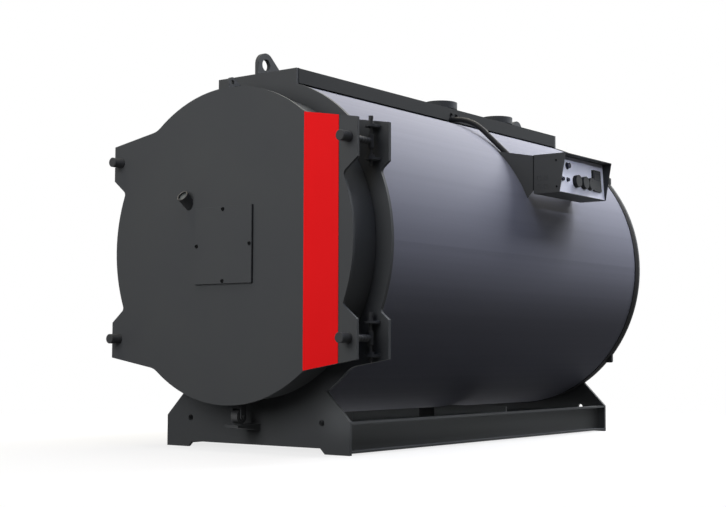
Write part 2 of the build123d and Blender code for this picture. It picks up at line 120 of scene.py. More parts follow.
def fineBump(tree, shader, place, spec):
    grain = addNode(tree, "ShaderNodeTexNoise", {
        "Scale": perMetre(spec["peelMm"]), "Detail": surface["peelDetail"]},
        Vector=place.outputs["Vector"])
    bump = addNode(tree, "ShaderNodeBump", {
        "Strength": surface["peelStrength"], "Distance": mm(spec["peelDepthMm"])},
        Height=grain.outputs["Fac"])
    tree.links.new(bump.outputs["Normal"], shader.inputs["Normal"])


def coatedSurface(name, spec):                       # paint, plastic, rubber and stone alike
    material, tree, shader = newMaterial(name)
    place = objectPlace(tree)
    noise = driftingTone(tree, shader, place, spec)
    gloss = addNode(tree, "ShaderNodeMapRange", {
        "From Min": surface["noiseLow"], "From Max": surface["noiseHigh"],
        "To Min": spec["roughness"] - surface["glossDrift"],
        "To Max": spec["roughness"] + surface["glossDrift"]}, Value=noise.outputs["Fac"])
    tree.links.new(gloss.outputs["Result"], shader.inputs["Roughness"])
    fineBump(tree, shader, place, spec)
    setShader(shader, {"Specular IOR Level": spec["specular"]})
    return material


def bareMetal(name, spec):
    material, tree, shader = newMaterial(name)
    driftingTone(tree, shader, objectPlace(tree, spec["stretch"]), spec)
    setShader(shader, {"Roughness": spec["roughness"], "Metallic": spec["metallic"]})
    return material


# Polyester powder coat on welded steel plate: sprayed and baked, so an even satin skin with faint peel
powderCoat = {"dark": "#484a4c", "light": "#4b4d4e", "driftMm": 420, "roughness": 0.6, "specular": 0.06,
              "peelMm": 7, "peelDepthMm": 0.12}      # real peel is about 2 mm, drawn coarser to show

# Coil-coated galvanised sheet: painted, then rolled, so a soft even sheen with hair-fine lengthwise lines
jacketCoat = {"dark": "#757782", "light": "#797b86", "driftMm": 36, "lineLengthMm": 10400,
              "roughness": 0.6, "specular": 0.02}    # real lines are under 1 mm, drawn coarser to show


def coilCoatedSheet():
    material, tree, shader = newMaterial("coil_coated_sheet")
    squash = jacketCoat["driftMm"] / jacketCoat["lineLengthMm"]
    driftingTone(tree, shader, objectPlace(tree, (1, squash, 1)), jacketCoat)
    setShader(shader, {"Roughness": jacketCoat["roughness"], "Specular IOR Level": jacketCoat["specular"]})
    return material


# Two-pack enamel over a cut steel sheet: sprayed wet, so a deep even red with a clear soft gloss
stripeCoat = {"dark": "#f2161a", "light": "#f5181c", "driftMm": 300, "roughness": 0.5, "specular": 0.07,
              "peelMm": 8, "peelDepthMm": 0.08}

# Hot-rolled boiler plate, fired: mill scale and soot, so dull brown-black with pale ash patches
firedPlate = {"dark": "#211e1c", "light": "#3a3430", "driftMm": 90, "roughness": 0.82, "specular": 0.2,
              "peelMm": 11, "peelDepthMm": 0.4}

# Seamless boiler tube: drawn steel with a rolled-in end, grey-brown from the heat
tubeSteel = {"dark": "#4b443f", "light": "#6a625b", "driftMm": 60, "stretch": (1, 0.15, 1),
             "metallic": 0.85, "roughness": 0.5}

# Castable refractory: poured and trowelled, then fired, so chalky cream with grog specks and small pits
lining = {"dark": "#a89a86", "light": "#cabfae", "driftMm": 70, "roughness": 0.95, "specular": 0.1,
          "peelMm": 14, "peelDepthMm": 1.4}

# Turned mild steel: lathe-cut and lightly oiled, so a dark grey metal with fine rings round its axis
turned = {"dark": "#2c2d2e", "light": "#393a3b", "driftMm": 16, "stretch": (6, 1, 1),
          "metallic": 0.3, "roughness": 0.55}

# Aluminium front sheet: rolled, etched and anodised matt, so a flat pale lilac-grey
panelSheet = {"dark": "#e2e4ef", "light": "#e6e8f2", "driftMm": 200, "roughness": 0.6, "specular": 0.06,
              "peelMm": 5, "peelDepthMm": 0.03}

# ABS, moulded with a fine spark texture, so flat charcoal with a broad dull sheen
mouldedAbs = {"dark": "#242627", "light": "#282a2b", "driftMm": 40, "roughness": 0.6, "specular": 0.12,
              "peelMm": 3, "peelDepthMm": 0.05}

# Polycarbonate lens, moulded clear-tinted: smooth with a soft gloss, dark while unlit
lens = {"dark": "#1e2034", "light": "#24263c", "driftMm": 20, "roughness": 0.2, "specular": 0.2,
        "peelMm": 20, "peelDepthMm": 0.01}

# Borosilicate sight glass: ground flat, then fogged grey by the heat behind it
sightGlass = {"tint": "#565b5a", "roughness": 0.45, "ior": 1.47, "transmission": 0.2}


def groundSightGlass():
    material, _, shader = newMaterial("ground_sight_glass")
    setShader(shader, {"Base Color": srgb(sightGlass["tint"]), "Roughness": sightGlass["roughness"],
                       "IOR": sightGlass["ior"], "Transmission Weight": sightGlass["transmission"]})
    return material


# Braided glass-fibre rope, pressed into the door rim: off-white with a coarse plait
rope = {"dark": "#a8a294", "light": "#c9c4b6", "driftMm": 9, "roughness": 0.95, "specular": 0.1,
        "peelMm": 6, "peelDepthMm": 1.2}

# Fine-thread screws, blackened in hot oxide: dull blue-black steel
blackScrew = {"dark": "#08090a", "light": "#0c0d0e", "driftMm": 12, "roughness": 0.7, "specular": 0.06,
              "peelMm": 4, "peelDepthMm": 0.02}

# Turned hinge steel, phosphated and oiled: darker than the plates, with a dry grey bloom
hingeSteel = {"dark": "#414243", "light": "#474849", "driftMm": 30, "roughness": 0.6, "specular": 0.06,
              "peelMm": 3, "peelDepthMm": 0.03}

# Powder coat on thin folded sheet: the plates' satin skin, darkened to a deeper grey as painted shade on
# the cover
coverCoatPaintedShade = powderCoat | {"dark": "#282a2b", "light": "#2b2d2e"}

# Grey iron casting in stove enamel: brushed on and baked by the fire, so flat grey-black and sandy
stoveEnamel = {"dark": "#2e2f30", "light": "#333435", "driftMm": 30, "roughness": 0.75, "specular": 0.08,
               "peelMm": 3, "peelDepthMm": 0.1}

# EPDM rubber, extruded: soft matt black that hardly shines; the same black on the rear band and the burner
# plate's edges is painted shade
rubber = {"dark": "#141516", "light": "#1a1b1c", "driftMm": 25, "roughness": 0.85, "specular": 0.1,
          "peelMm": 3, "peelDepthMm": 0.04}

# Steel conduit in a PVC sheath, extruded over it: smooth dark grey with a long soft highlight
sheath = {"dark": "#1f2022", "light": "#242527", "driftMm": 120, "roughness": 0.5, "specular": 0.08,
          "peelMm": 6, "peelDepthMm": 0.05}

# Electroplated steel: zinc is grey and slightly hazy, nickel by the fire dulls to a warm dark grey
zinc = {"dark": "#a6a8a9", "light": "#b6b8b8", "driftMm": 14, "stretch": (1, 1, 1),
        "metallic": 1.0, "roughness": 0.38}
nickel = {"dark": "#4c4b4a", "light": "#565553", "driftMm": 30, "stretch": (1, 1, 1),
          "metallic": 1.0, "roughness": 0.4}

paint = coatedSurface("powder_coated_plate", powderCoat)
fired = coatedSurface("fired_boiler_plate", firedPlate)
finishes = {
    "dark_paint": paint,
    "flange_steel": paint,
    "panel_paint": paint,
    "conduit_steel": coatedSurface("sheathed_conduit", sheath),
    "jacket_sheet": coilCoatedSheet(),
    "boiler_tube": bareMetal("drawn_tube_steel", tubeSteel),
    "red_paint": coatedSurface("enamelled_stripe", stripeCoat),
    "fire_lining": coatedSurface("castable_refractory", lining),
    "clear_glass": groundSightGlass(),
    "roller_steel": bareMetal("turned_steel", turned),
    "panel_front": coatedSurface("anodised_front_sheet", panelSheet),
    "black_plastic": coatedSurface("moulded_abs", mouldedAbs),
    "lamp_plastic": coatedSurface("tinted_polycarbonate", lens),
    "button_plastic": coatedSurface("tinted_polycarbonate_button", lens),
}
blackened = coatedSurface("blackened_screw_steel", blackScrew)
phosphated = coatedSurface("phosphated_hinge_steel", hingeSteel)
blackRubberAndPaintedShade = coatedSurface("extruded_rubber_and_painted_shade", rubber)
zincPlated = bareMetal("zinc_plated_steel", zinc)
bezelMetal = bareMetal("nickel_plated_ring", nickel)
sealRope = coatedSurface("braided_glass_rope", rope)
ownFinish = {                                        # nodes that differ from their slot
    "furnace_tube": fired, "furnace_end": fired,     # plate that the flame touches
    # the cover carries the plates' paint darkened as painted shade
    "top_cover": coatedSurface("powder_coat_painted_shade", coverCoatPaintedShade),
    # the rear band and the burner plate are black as painted shade
    "rear_jacket_band": blackRubberAndPaintedShade, "burner_plate": blackRubberAndPaintedShade,
    "sight_tube": coatedSurface("stove_enamelled_casting", stoveEnamel),
}
for side in ("right", "left"):
    for kind in ("nuts", "eyebolts", "hinge_pins"):
        ownFinish[side + "_" + kind] = phosphated
for node, slot in slotOf.items():
    piece = nodes[node]
    piece.data.materials.clear()
    piece.data.materials.append(ownFinish.get(node, finishes[slot]))
print("materials set:", len(bpy.data.materials))


# Geometry node helpers

def newTree(name, inputs):
    tree = bpy.data.node_groups.new(name, "GeometryNodeTree")
    tree.interface.new_socket("Geometry", in_out="INPUT", socket_type="NodeSocketGeometry")
    for label, kind in inputs.items():
        tree.interface.new_socket(label, in_out="INPUT", socket_type="NodeSocket" + kind)
    tree.interface.new_socket("Geometry", in_out="OUTPUT", socket_type="NodeSocketGeometry")
    return tree, tree.nodes.new("NodeGroupInput").outputs


def endTree(tree, geometry, finish):
    real = addNode(tree, "GeometryNodeRealizeInstances", {}, _0=geometry)
    done = addNode(tree, "GeometryNodeSetMaterial", {}, _0=real.outputs[0], Material=finish)
    addNode(tree, "NodeGroupOutput", {}, _0=done.outputs[0])


def onPoints(tree, given, shape):
    turn = addNode(tree, "FunctionNodeAlignRotationToVector", {"axis": "Z"}, Vector=given["Facing"])
    placed = addNode(tree, "GeometryNodeInstanceOnPoints", {}, _0=given["Geometry"], Instance=shape,
                     Rotation=turn.outputs[0])
    return placed.outputs[0]


screwShape = {"sides": 24, "rim": 0.8, "keySides": 6, "key": 0.42}   # shares of the head's radius


def makeScrewTree():                                 # low round head with a six-sided key socket
    tree, given = newTree("socket_screws", {"Radius": "Float", "Height": "Float", "Facing": "Vector",
                                            "Finish": "Material"})
    rim = addNode(tree, "ShaderNodeMath", {"operation": "MULTIPLY", 1: screwShape["rim"]},
                  _0=given["Radius"])
    head = addNode(tree, "GeometryNodeMeshCone", {"fill_type": "NGON", "Vertices": screwShape["sides"]},
                   Depth=given["Height"], Radius_Bottom=given["Radius"], Radius_Top=rim.outputs[0])
    socket = addNode(tree, "ShaderNodeMath", {"operation": "MULTIPLY", 1: screwShape["key"]},
                     _0=given["Radius"])
    key = addNode(tree, "GeometryNodeMeshCylinder", {"Vertices": screwShape["keySides"]},
                  Depth=given["Height"], Radius=socket.outputs[0])
    lift = addNode(tree, "ShaderNodeCombineXYZ", {}, Z=given["Height"])
    key = addNode(tree, "GeometryNodeTransform", {}, _0=key.outputs["Mesh"], Translation=lift.outputs[0])
    cut = addNode(tree, "GeometryNodeMeshBoolean", {"operation": "DIFFERENCE"}, _0=head.outputs["Mesh"],
                  _1=key.outputs[0])
    endTree(tree, onPoints(tree, given, cut.outputs["Mesh"]), given["Finish"])
    return tree


nutShape = {"sides": 6, "edge": 0.96, "studSides": 20, "reach": 1.35, "shank": 0.52, "tip": 0.46,
            "sharesOf": {"edge": "Radius", "reach": "Height", "shank": "Radius", "tip": "Radius"}}


def makeNutTree():                                   # hexagon nut with the end of its stud
    tree, given = newTree("stud_nuts", {"Radius": "Float", "Height": "Float", "Facing": "Vector",
                                        "Finish": "Material"})
    sized = {}
    for key, source in nutShape["sharesOf"].items():
        share = addNode(tree, "ShaderNodeMath", {"operation": "MULTIPLY", 1: nutShape[key]},
                        _0=given[source])
        sized[key] = share.outputs[0]
    nut = addNode(tree, "GeometryNodeMeshCone", {"Vertices": nutShape["sides"]}, Depth=given["Height"],
                  Radius_Bottom=given["Radius"], Radius_Top=sized["edge"])
    stud = addNode(tree, "GeometryNodeMeshCone", {"Vertices": nutShape["studSides"]}, Depth=sized["reach"],
                   Radius_Bottom=sized["shank"], Radius_Top=sized["tip"])
    both = addNode(tree, "GeometryNodeJoinGeometry", {}, _0=nut.outputs["Mesh"])
    tree.links.new(stud.outputs["Mesh"], both.inputs[0])
    endTree(tree, onPoints(tree, given, both.outputs[0]), given["Finish"])
    return tree


tubeSteps = {"ring": 32, "section": 8, "perPitch": 4}   # points round a ring, a section and along a bead


def makeRingTree():                                  # round bezel or rolled-in tube end
    tree, given = newTree("round_rings", {"Radius": "Float", "Thickness": "Float", "Facing": "Vector",
                                          "Finish": "Material"})
    path = addNode(tree, "GeometryNodeCurvePrimitiveCircle", {"Resolution": tubeSteps["ring"]},
                   Radius=given["Radius"])
    section = addNode(tree, "GeometryNodeCurvePrimitiveCircle", {"Resolution": tubeSteps["section"]},
                      Radius=given["Thickness"])
    ring = addNode(tree, "GeometryNodeCurveToMesh", {}, Curve=path.outputs[0],
                   Profile_Curve=section.outputs[0])
    smooth = addNode(tree, "GeometryNodeSetShadeSmooth", {}, _0=ring.outputs[0])
    endTree(tree, onPoints(tree, given, smooth.outputs[0]), given["Finish"])
    return tree


def makeBeadTree():                                  # weld bead, thread or rope that swells with each pitch
    tree, given = newTree("rippled_beads", {"Radius": "Float", "Pitch": "Float", "Swell": "Float",
                                            "Finish": "Material"})
    line = addNode(tree, "GeometryNodeMeshToCurve", {}, _0=given["Geometry"])
    step = addNode(tree, "ShaderNodeMath", {"operation": "DIVIDE", 1: tubeSteps["perPitch"]},
                   _0=given["Pitch"])
    line = addNode(tree, "GeometryNodeResampleCurve", {"mode": "LENGTH"}, Curve=line.outputs[0],
                   Length=step.outputs[0])
    along = addNode(tree, "GeometryNodeSplineParameter")
    turns = addNode(tree, "ShaderNodeMath", {"operation": "DIVIDE"}, _0=along.outputs["Length"],
                    _1=given["Pitch"])
    angle = addNode(tree, "ShaderNodeMath", {"operation": "MULTIPLY", 1: math.tau}, _0=turns.outputs[0])
    wave = addNode(tree, "ShaderNodeMath", {"operation": "SINE"}, _0=angle.outputs[0])
    wave = addNode(tree, "ShaderNodeMath", {"operation": "MULTIPLY_ADD", 2: 1.0}, _0=wave.outputs[0],
                   _1=given["Swell"])
    section = addNode(tree, "GeometryNodeCurvePrimitiveCircle", {"Resolution": tubeSteps["section"]},
                      Radius=given["Radius"])
    bead = addNode(tree, "GeometryNodeCurveToMesh", {"Fill Caps": True}, Curve=line.outputs[0],
                   Profile_Curve=section.outputs[0], Scale=wave.outputs[0])
    smooth = addNode(tree, "GeometryNodeSetShadeSmooth", {}, _0=bead.outputs[0])
    endTree(tree, smooth.outputs[0], given["Finish"])
    return tree


def placeOnBody(name, body, tree, values, points, edges=()):
    mesh = bpy.data.meshes.new(name + "_points")
    mesh.from_pydata([tuple(p) for p in points], edges, [])
    piece = bpy.data.objects.new(name, mesh)
    bpy.context.scene.collection.objects.link(piece)
    modifier = piece.modifiers.new(tree.name, "NODES")
    modifier.node_group = tree
    for item in tree.interface.items_tree:
        if item.in_out == "INPUT" and item.name in values:
            modifier[item.identifier] = values[item.name]
    evaluated = piece.evaluated_get(bpy.context.evaluated_depsgraph_get())
    baked = bpy.data.meshes.new_from_object(evaluated)
    piece.modifiers.remove(modifier)
    piece.data = baked
    baked.name = name
    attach(piece, body)
    return piece


def lineEdges(counts, closed=False):                 # edges of several lines laid one after another
    edges, start = [], 0
    for count in counts:
        edges += [(start + i, start + i + 1) for i in range(count - 1)]
        if closed:
            edges.append((start + count - 1, start))
        start += count
    return edges


def circlePoints(centre, radius, count, across=(1, 0, 0), up=(0, 0, 1)):
    across, up = Vector(across), Vector(up)
    turns = [math.tau * i / count for i in range(count)]
    return [Vector(centre) + radius * (math.cos(a) * across + math.sin(a) * up) for a in turns]


screwTree = makeScrewTree()
nutTree = makeNutTree()
ringTree = makeRingTree()
beadTree = makeBeadTree()
print("node trees ready")


# Burner blank: a bevelled plate over the burner plate, whose black edges are painted shade, with one screw
# in the middle of each side

burnerBlank = {"thicknessMm": 7, "bevelMm": 0.8,
               "screwRadiusMm": 11, "screwHeightMm": 5, "screwInsetMm": 14}


def makeBurnerBlank():
    low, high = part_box("burner_plate")
    bevel = mm(burnerBlank["bevelMm"])
    front = low.y - mm(burnerBlank["thicknessMm"])
    points = []
    for y, inset in ((low.y, 0), (front + bevel, 0), (front, bevel)):
        x0, x1, z0, z1 = low.x + inset, high.x - inset, low.z + inset, high.z - inset
        points += [(x0, y, z0), (x1, y, z0), (x1, y, z1), (x0, y, z1)]
    faces = [(0, 3, 2, 1), (8, 9, 10, 11)]
    for start in (0, 4):
        for i in range(4):
            after = (i + 1) % 4
            faces.append((start + i, start + after, start + 4 + after, start + 4 + i))
    mesh = bpy.data.meshes.new("burner_blank")
    mesh.from_pydata(points, [], faces)
    mesh.materials.append(paint)
    piece = bpy.data.objects.new("burner_blank", mesh)
    bpy.context.scene.collection.objects.link(piece)
    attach(piece, "door")


def makeBurnerScrews():
    low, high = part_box("burner_plate")
    middle = (low + high) / 2
    reachX = (high.x - low.x) / 2 - mm(burnerBlank["screwInsetMm"])
    reachZ = (high.z - low.z) / 2 - mm(burnerBlank["screwInsetMm"])
    front = low.y - mm(burnerBlank["thicknessMm"])
    offsets = [(reachX, 0), (-reachX, 0), (0, reachZ), (0, -reachZ)]
    points = [(middle.x + x, front, middle.z + z) for x, z in offsets]
    placeOnBody("burner_screws", "door", screwTree, {
        "Radius": mm(burnerBlank["screwRadiusMm"]), "Height": mm(burnerBlank["screwHeightMm"]),
        "Facing": (0, -1, 0), "Finish": blackened}, points)


# Sight tube: plated ring that holds the glass

sightRing = {"tilt": 36, "radiusMm": 30.5, "thicknessMm": 3.2, "pastGlassMm": 12}


def makeSightRing():
    low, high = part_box("sight_glass")
    tilt = math.radians(sightRing["tilt"])
    axis = Vector((0, -math.cos(tilt), math.sin(tilt)))
    centre = (low + high) / 2 + axis * mm(sightRing["pastGlassMm"])
    placeOnBody("sight_ring", "door", ringTree, {
        "Radius": mm(sightRing["radiusMm"]), "Thickness": mm(sightRing["thicknessMm"]),
        "Facing": tuple(axis), "Finish": bezelMetal}, [centre])


# Eyebolts: thread between lock nut and eye

threads = {"radiusMm": 17.5, "pitchMm": 24, "swell": 0.12, "lockNutMm": 26, "eyeMm": 34.5,
           "eyeHalfMm": 37}                          # real pitch is about 3 mm, drawn coarser to show


def makeThreads():
    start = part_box("door_plate")[1].y + mm(threads["lockNutMm"])
    half = mm(threads["eyeHalfMm"])
    for side, body in (("right", "door"), ("left", "boiler")):
        low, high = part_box(side + "_eyebolts")
        x, end = (low.x + high.x) / 2, high.y - mm(threads["eyeMm"])
        points = [(x, y, z) for z in (high.z - half, low.z + half) for y in (start, end)]
        placeOnBody(side + "_bolt_threads", body, beadTree, {
            "Radius": mm(threads["radiusMm"]), "Pitch": mm(threads["pitchMm"]), "Swell": threads["swell"],
            "Finish": phosphated}, points, lineEdges([2, 2]))


# Seams: rubber strip where the cover meets the front plate, and where the front bracket meets the panel

seams = {"coverMm": 2.2, "panelMm": 2.8, "panelLowMm": 22, "panelHighMm": 3, "pitchMm": 20}


def makeSeams():
    low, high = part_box("top_cover")
    corners = [(low.x, low.z), (low.x, high.z), (high.x, high.z), (high.x, low.z)]
    points = [(x, low.y, z) for x, z in corners]
    placeOnBody("cover_seam", "boiler", beadTree, {
        "Radius": mm(seams["coverMm"]), "Pitch": mm(seams["pitchMm"]), "Swell": 0.0, "Finish": blackRubberAndPaintedShade},
        points, lineEdges([4]))
    low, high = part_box("panel_housing")
    heights = (low.z + mm(seams["panelLowMm"]), high.z - mm(seams["panelHighMm"]))
    ends = [(low.x, low.y, z) for z in heights]
    placeOnBody("panel_seam", "boiler", beadTree, {
        "Radius": mm(seams["panelMm"]), "Pitch": mm(seams["pitchMm"]), "Swell": 0.0, "Finish": blackRubberAndPaintedShade},
        ends, lineEdges([2]))


# Cable entries in the cover: two grommets, and the gland of the conduit

cableEntries = {"grommetMm": (11, 3.6), "grommetAlongMm": (-3, 53), "grommetDropMm": 40,
                "glandMm": (19, 5), "glandDropMm": 73}


def makeCableEntries():
    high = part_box("top_cover")[1]
    pipeLow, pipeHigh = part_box("cable_conduit")
    y = (pipeLow.y + pipeHigh.y) / 2
    z = high.z - mm(cableEntries["grommetDropMm"])
    holes = [(high.x, y + mm(along), z) for along in cableEntries["grommetAlongMm"]]
    glands = [(high.x, y, high.z - mm(cableEntries["glandDropMm"]))]
    for name, points in (("grommet", holes), ("gland", glands)):
        radius, thickness = cableEntries[name + "Mm"]
        placeOnBody("cover_" + name, "boiler", ringTree, {
            "Radius": mm(radius), "Thickness": mm(thickness), "Facing": (1, 0, 0),
            "Finish": blackRubberAndPaintedShade}, points)


# Control panel: cheek screws, knockouts, bezels, knob pointers and the controller's frame

cheekScrews = {"radiusMm": 6, "heightMm": 3, "placesMm": [(153, 191), (156, 34)]}   # back edge, lower edge


def makeCheekScrews():
    low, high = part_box("panel_housing")
    for name, y, facing in (("front", low.y, -1), ("rear", high.y, 1)):
        points = [(low.x + mm(x), y, low.z + mm(z)) for x, z in cheekScrews["placesMm"]]
        placeOnBody(name + "_cheek_screws", "boiler", screwTree, {
            "Radius": mm(cheekScrews["radiusMm"]), "Height": mm(cheekScrews["heightMm"]),
            "Facing": (0, facing, 0), "Finish": blackened}, points)


knockouts = {"acrossMm": (38, 84), "upMm": (42, 92), "sideMm": 24, "grooveMm": 1.5, "pitchMm": 6}


def makeKnockouts():
    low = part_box("panel_housing")[0]
    half = mm(knockouts["sideMm"]) / 2
    points = []
    for across in knockouts["acrossMm"]:
        for up in knockouts["upMm"]:
            x, z = low.x + mm(across), low.z + mm(up)
            points += [(x + i * half, low.y, z + k * half) for i, k in squareCorners]
    placeOnBody("panel_knockouts", "boiler", beadTree, {
        "Radius": mm(knockouts["grooveMm"]), "Pitch": mm(knockouts["pitchMm"]), "Swell": 0.0,
        "Finish": paint}, points, lineEdges([4] * 4, closed=True))


panelFace = {"sheetMm": 4, "lowMm": 166, "highMm": 150, "thicknessMm": 3}
instruments = {                                      # along and up the front sheet
    "lampMm": [(56, 82), (116, 82)], "lampBezelMm": (12.5, 2.2),
    "buttonMm": [(124, 166)], "buttonBezelMm": (19.5, 2.6),
}


def facePoint(along, up, out=0):
    low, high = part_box("panel_housing")
    sheet = mm(panelFace["sheetMm"])
    foot = Vector((low.x + mm(panelFace["lowMm"]), low.y + sheet, low.z + sheet))
    rise = high.z - low.z - 2 * sheet
    lean = Vector((mm(panelFace["highMm"] - panelFace["lowMm"]), 0, rise)).normalized()
    facing = Vector((0, 1, 0)).cross(lean)
    lift = facing * mm(panelFace["thicknessMm"] + out)
    return foot + Vector((0, mm(along), 0)) + lean * mm(up) + lift, facing


def makeBezels():
    for name in ("lamp", "button"):
        radius, thickness = instruments[name + "BezelMm"]
        spots = [facePoint(along, up) for along, up in instruments[name + "Mm"]]
        placeOnBody(name + "_bezels", "boiler", ringTree, {
            "Radius": mm(radius), "Thickness": mm(thickness), "Facing": tuple(spots[0][1]),
            "Finish": finishes["black_plastic"]}, [point for point, _ in spots])


dialMarks = {"knobsMm": (217, 310, 389), "knobUpMm": 80, "knobOutMm": 26, "markMm": (12, 33),
             "screenMm": (479, 132, 74, 40), "screenOutMm": 14, "lineMm": 1.6, "pitchMm": 8}


def makeDialMarks():
    points = []
    for along in dialMarks["knobsMm"]:
        for mark in dialMarks["markMm"]:
            points.append(facePoint(along, dialMarks["knobUpMm"] + mark, dialMarks["knobOutMm"])[0])
    marks = len(dialMarks["knobsMm"])
    placeOnBody("knob_pointers", "boiler", beadTree, {
        "Radius": mm(dialMarks["lineMm"]), "Pitch": mm(dialMarks["pitchMm"]), "Swell": 0.0,
        "Finish": paint}, points, lineEdges([2] * marks))
    along, up, width, height = dialMarks["screenMm"]
    out = dialMarks["screenOutMm"]
    screen = [facePoint(along + i * width / 2, up + k * height / 2, out)[0] for i, k in squareCorners]
    placeOnBody("controller_screen_frame", "boiler", beadTree, {
        "Radius": mm(dialMarks["lineMm"]), "Pitch": mm(dialMarks["pitchMm"]), "Swell": 0.0,
        "Finish": finishes["lamp_plastic"]}, screen, lineEdges([4], closed=True))


# Cleaning hatch at the back: studs and nuts round its edge

hatchNuts = {"radiusMm": 11, "heightMm": 10, "insetMm": 24, "across": 3}


def makeHatchNuts():
    low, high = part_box("cleaning_hatch")
    inset = mm(hatchNuts["insetMm"])
    steps = [i / (hatchNuts["across"] - 1) for i in range(hatchNuts["across"])]
    rows = (low.z + inset, high.z - inset)
    width = high.x - low.x - 2 * inset
    points = [(low.x + inset + step * width, high.y, z) for step in steps for z in rows]
    placeOnBody("hatch_nuts", "boiler", nutTree, {
        "Radius": mm(hatchNuts["radiusMm"]), "Height": mm(hatchNuts["heightMm"]), "Facing": (0, 1, 0),
        "Finish": zincPlated}, points)


# Tube plate: the rolled-in end of each smoke tube

tubeEnds = {"rings": [(540, 20), (670, 24)], "radiusMm": 38, "thicknessMm": 2.4}


def makeTubeEnds():
    low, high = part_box("smoke_tubes")
    middle = (low + high) / 2
    points = []
    for radius, count in tubeEnds["rings"]:
        for i in range(count):
            turn = math.tau * (i + 0.5) / count      # half a step past level
            x, z = mm(radius) * math.cos(turn), mm(radius) * math.sin(turn)
            points.append((middle.x + x, low.y, middle.z + z))
    placeOnBody("tube_ends", "boiler", ringTree, {
        "Radius": mm(tubeEnds["radiusMm"]), "Thickness": mm(tubeEnds["thicknessMm"]), "Facing": (0, -1, 0),
        "Finish": finishes["boiler_tube"]}, points)


# Door seal: rope laid inside the drum's rim

doorSeal = {"ropeMm": 7, "pitchMm": 12, "swell": 0.08, "wallMm": 10, "proudMm": 2.5, "steps": 180}


def makeDoorSeal():
    low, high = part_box("door_drum")
    middle = (low + high) / 2
    half = mm(doorSeal["ropeMm"])
    reach = half * (1 + doorSeal["swell"])
    radius = (high.x - low.x) / 2 - mm(doorSeal["wallMm"]) - reach
    y = high.y + mm(doorSeal["proudMm"]) - reach
    points = circlePoints((middle.x, y, middle.z), radius, doorSeal["steps"])
    placeOnBody("door_seal", "door", beadTree, {
        "Radius": half, "Pitch": mm(doorSeal["pitchMm"]), "Swell": doorSeal["swell"],
        "Finish": sealRope}, points, lineEdges([doorSeal["steps"]], closed=True))


# Weld beads where plates meet

welds = {"radiusMm": 4.5, "pitchMm": 9, "swell": 0.1, "nozzleMm": 57.15, "lugInsetMm": 6, "lugPlateMm": 12,
         "lugGapMm": 168, "webMm": 7.5, "flangeMm": 11,
         "nozzleSteps": 48, "furnaceSteps": 120, "smokeboxSteps": 160}


def weldRun(name, points, edges):
    placeOnBody(name, "boiler", beadTree, {
        "Radius": mm(welds["radiusMm"]), "Pitch": mm(welds["pitchMm"]), "Swell": welds["swell"],
        "Finish": paint}, points, edges)


def weldLines(name, ends):                           # a straight bead between each two ends
    weldRun(name, ends, lineEdges([2] * (len(ends) // 2)))


def weldNozzles(top):
    rings, steps = [], welds["nozzleSteps"]
    for name in ("flow_nozzle", "return_nozzle"):
        low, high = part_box(name)
        middle = (low + high) / 2
        rings += circlePoints((middle.x, middle.y, top), mm(welds["nozzleMm"]), steps, up=(0, 1, 0))
    weldRun("nozzle_welds", rings, lineEdges([steps, steps], closed=True))


def weldLiftingLugs(top):
    lines, inset = [], mm(welds["lugInsetMm"])
    for name in ("front_lifting_lug", "rear_lifting_lug"):
        low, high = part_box(name)
        for x in (low.x, high.x):
            lines += [(x, low.y + inset, top), (x, high.y - inset, top)]
    weldLines("lifting_lug_welds", lines)


def weldHingeLugs(face):
    lines = []
    plate, step = mm(welds["lugPlateMm"]), mm(welds["lugGapMm"])
    for name in ("right_hinge_lugs", "left_hinge_lugs"):
        low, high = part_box(name)
        for under in (high.z - plate, high.z - plate - step, low.z + step, low.z):
            for z in (under, under + plate):
                lines += [(low.x, face, z), (high.x, face, z)]
    weldLines("hinge_lug_welds", lines)


def weldRings(face):
    low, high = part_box("furnace_tube")
    middle = (low + high) / 2
    around = circlePoints((middle.x, face, middle.z), (high.x - low.x) / 2, welds["furnaceSteps"])
    weldRun("furnace_weld", around, lineEdges([welds["furnaceSteps"]], closed=True))
    low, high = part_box("smokebox_back")
    around = circlePoints((middle.x, low.y, middle.z), (high.x - low.x) / 2, welds["smokeboxSteps"])
    weldRun("smokebox_weld", around, lineEdges([welds["smokeboxSteps"]], closed=True))


def weldChannels():
    lines, flange = [], mm(welds["flangeMm"])
    for name, edge in (("right_base_channel", 1), ("left_base_channel", -1)):
        low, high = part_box(name)
        web = (low.x if edge > 0 else high.x) + edge * mm(welds["webMm"])
        for y in (low.y, high.y):
            lines += [(web, y, low.z + flange), (web, y, high.z - flange)]
    weldLines("channel_welds", lines)


def makeWelds():
    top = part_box("top_cover")[1].z
    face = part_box("front_plate")[0].y
    weldNozzles(top)
    weldLiftingLugs(top)
    weldHingeLugs(face)
    low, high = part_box("roller_shelf")
    weldLines("shelf_weld", [(low.x, face, high.z), (high.x, face, high.z)])
    weldRings(face)
    weldChannels()


makeBurnerBlank()
makeBurnerScrews()
makeSightRing()
makeThreads()
makeSeams()
makeCableEntries()
makeCheekScrews()
makeKnockouts()
makeDialMarks()
makeBezels()
makeHatchNuts()
makeTubeEnds()
makeDoorSeal()
makeWelds()
print("fittings made")


# Stage: floor, lights and camera

stage = {
    "floorSize": 60, "floorBounce": "#303032", "floorLit": 0.75, "shadowShare": 0.22,
    "shadowFrom": 1.5, "shadowReach": 4.5, "worldFill": 0.045,
}
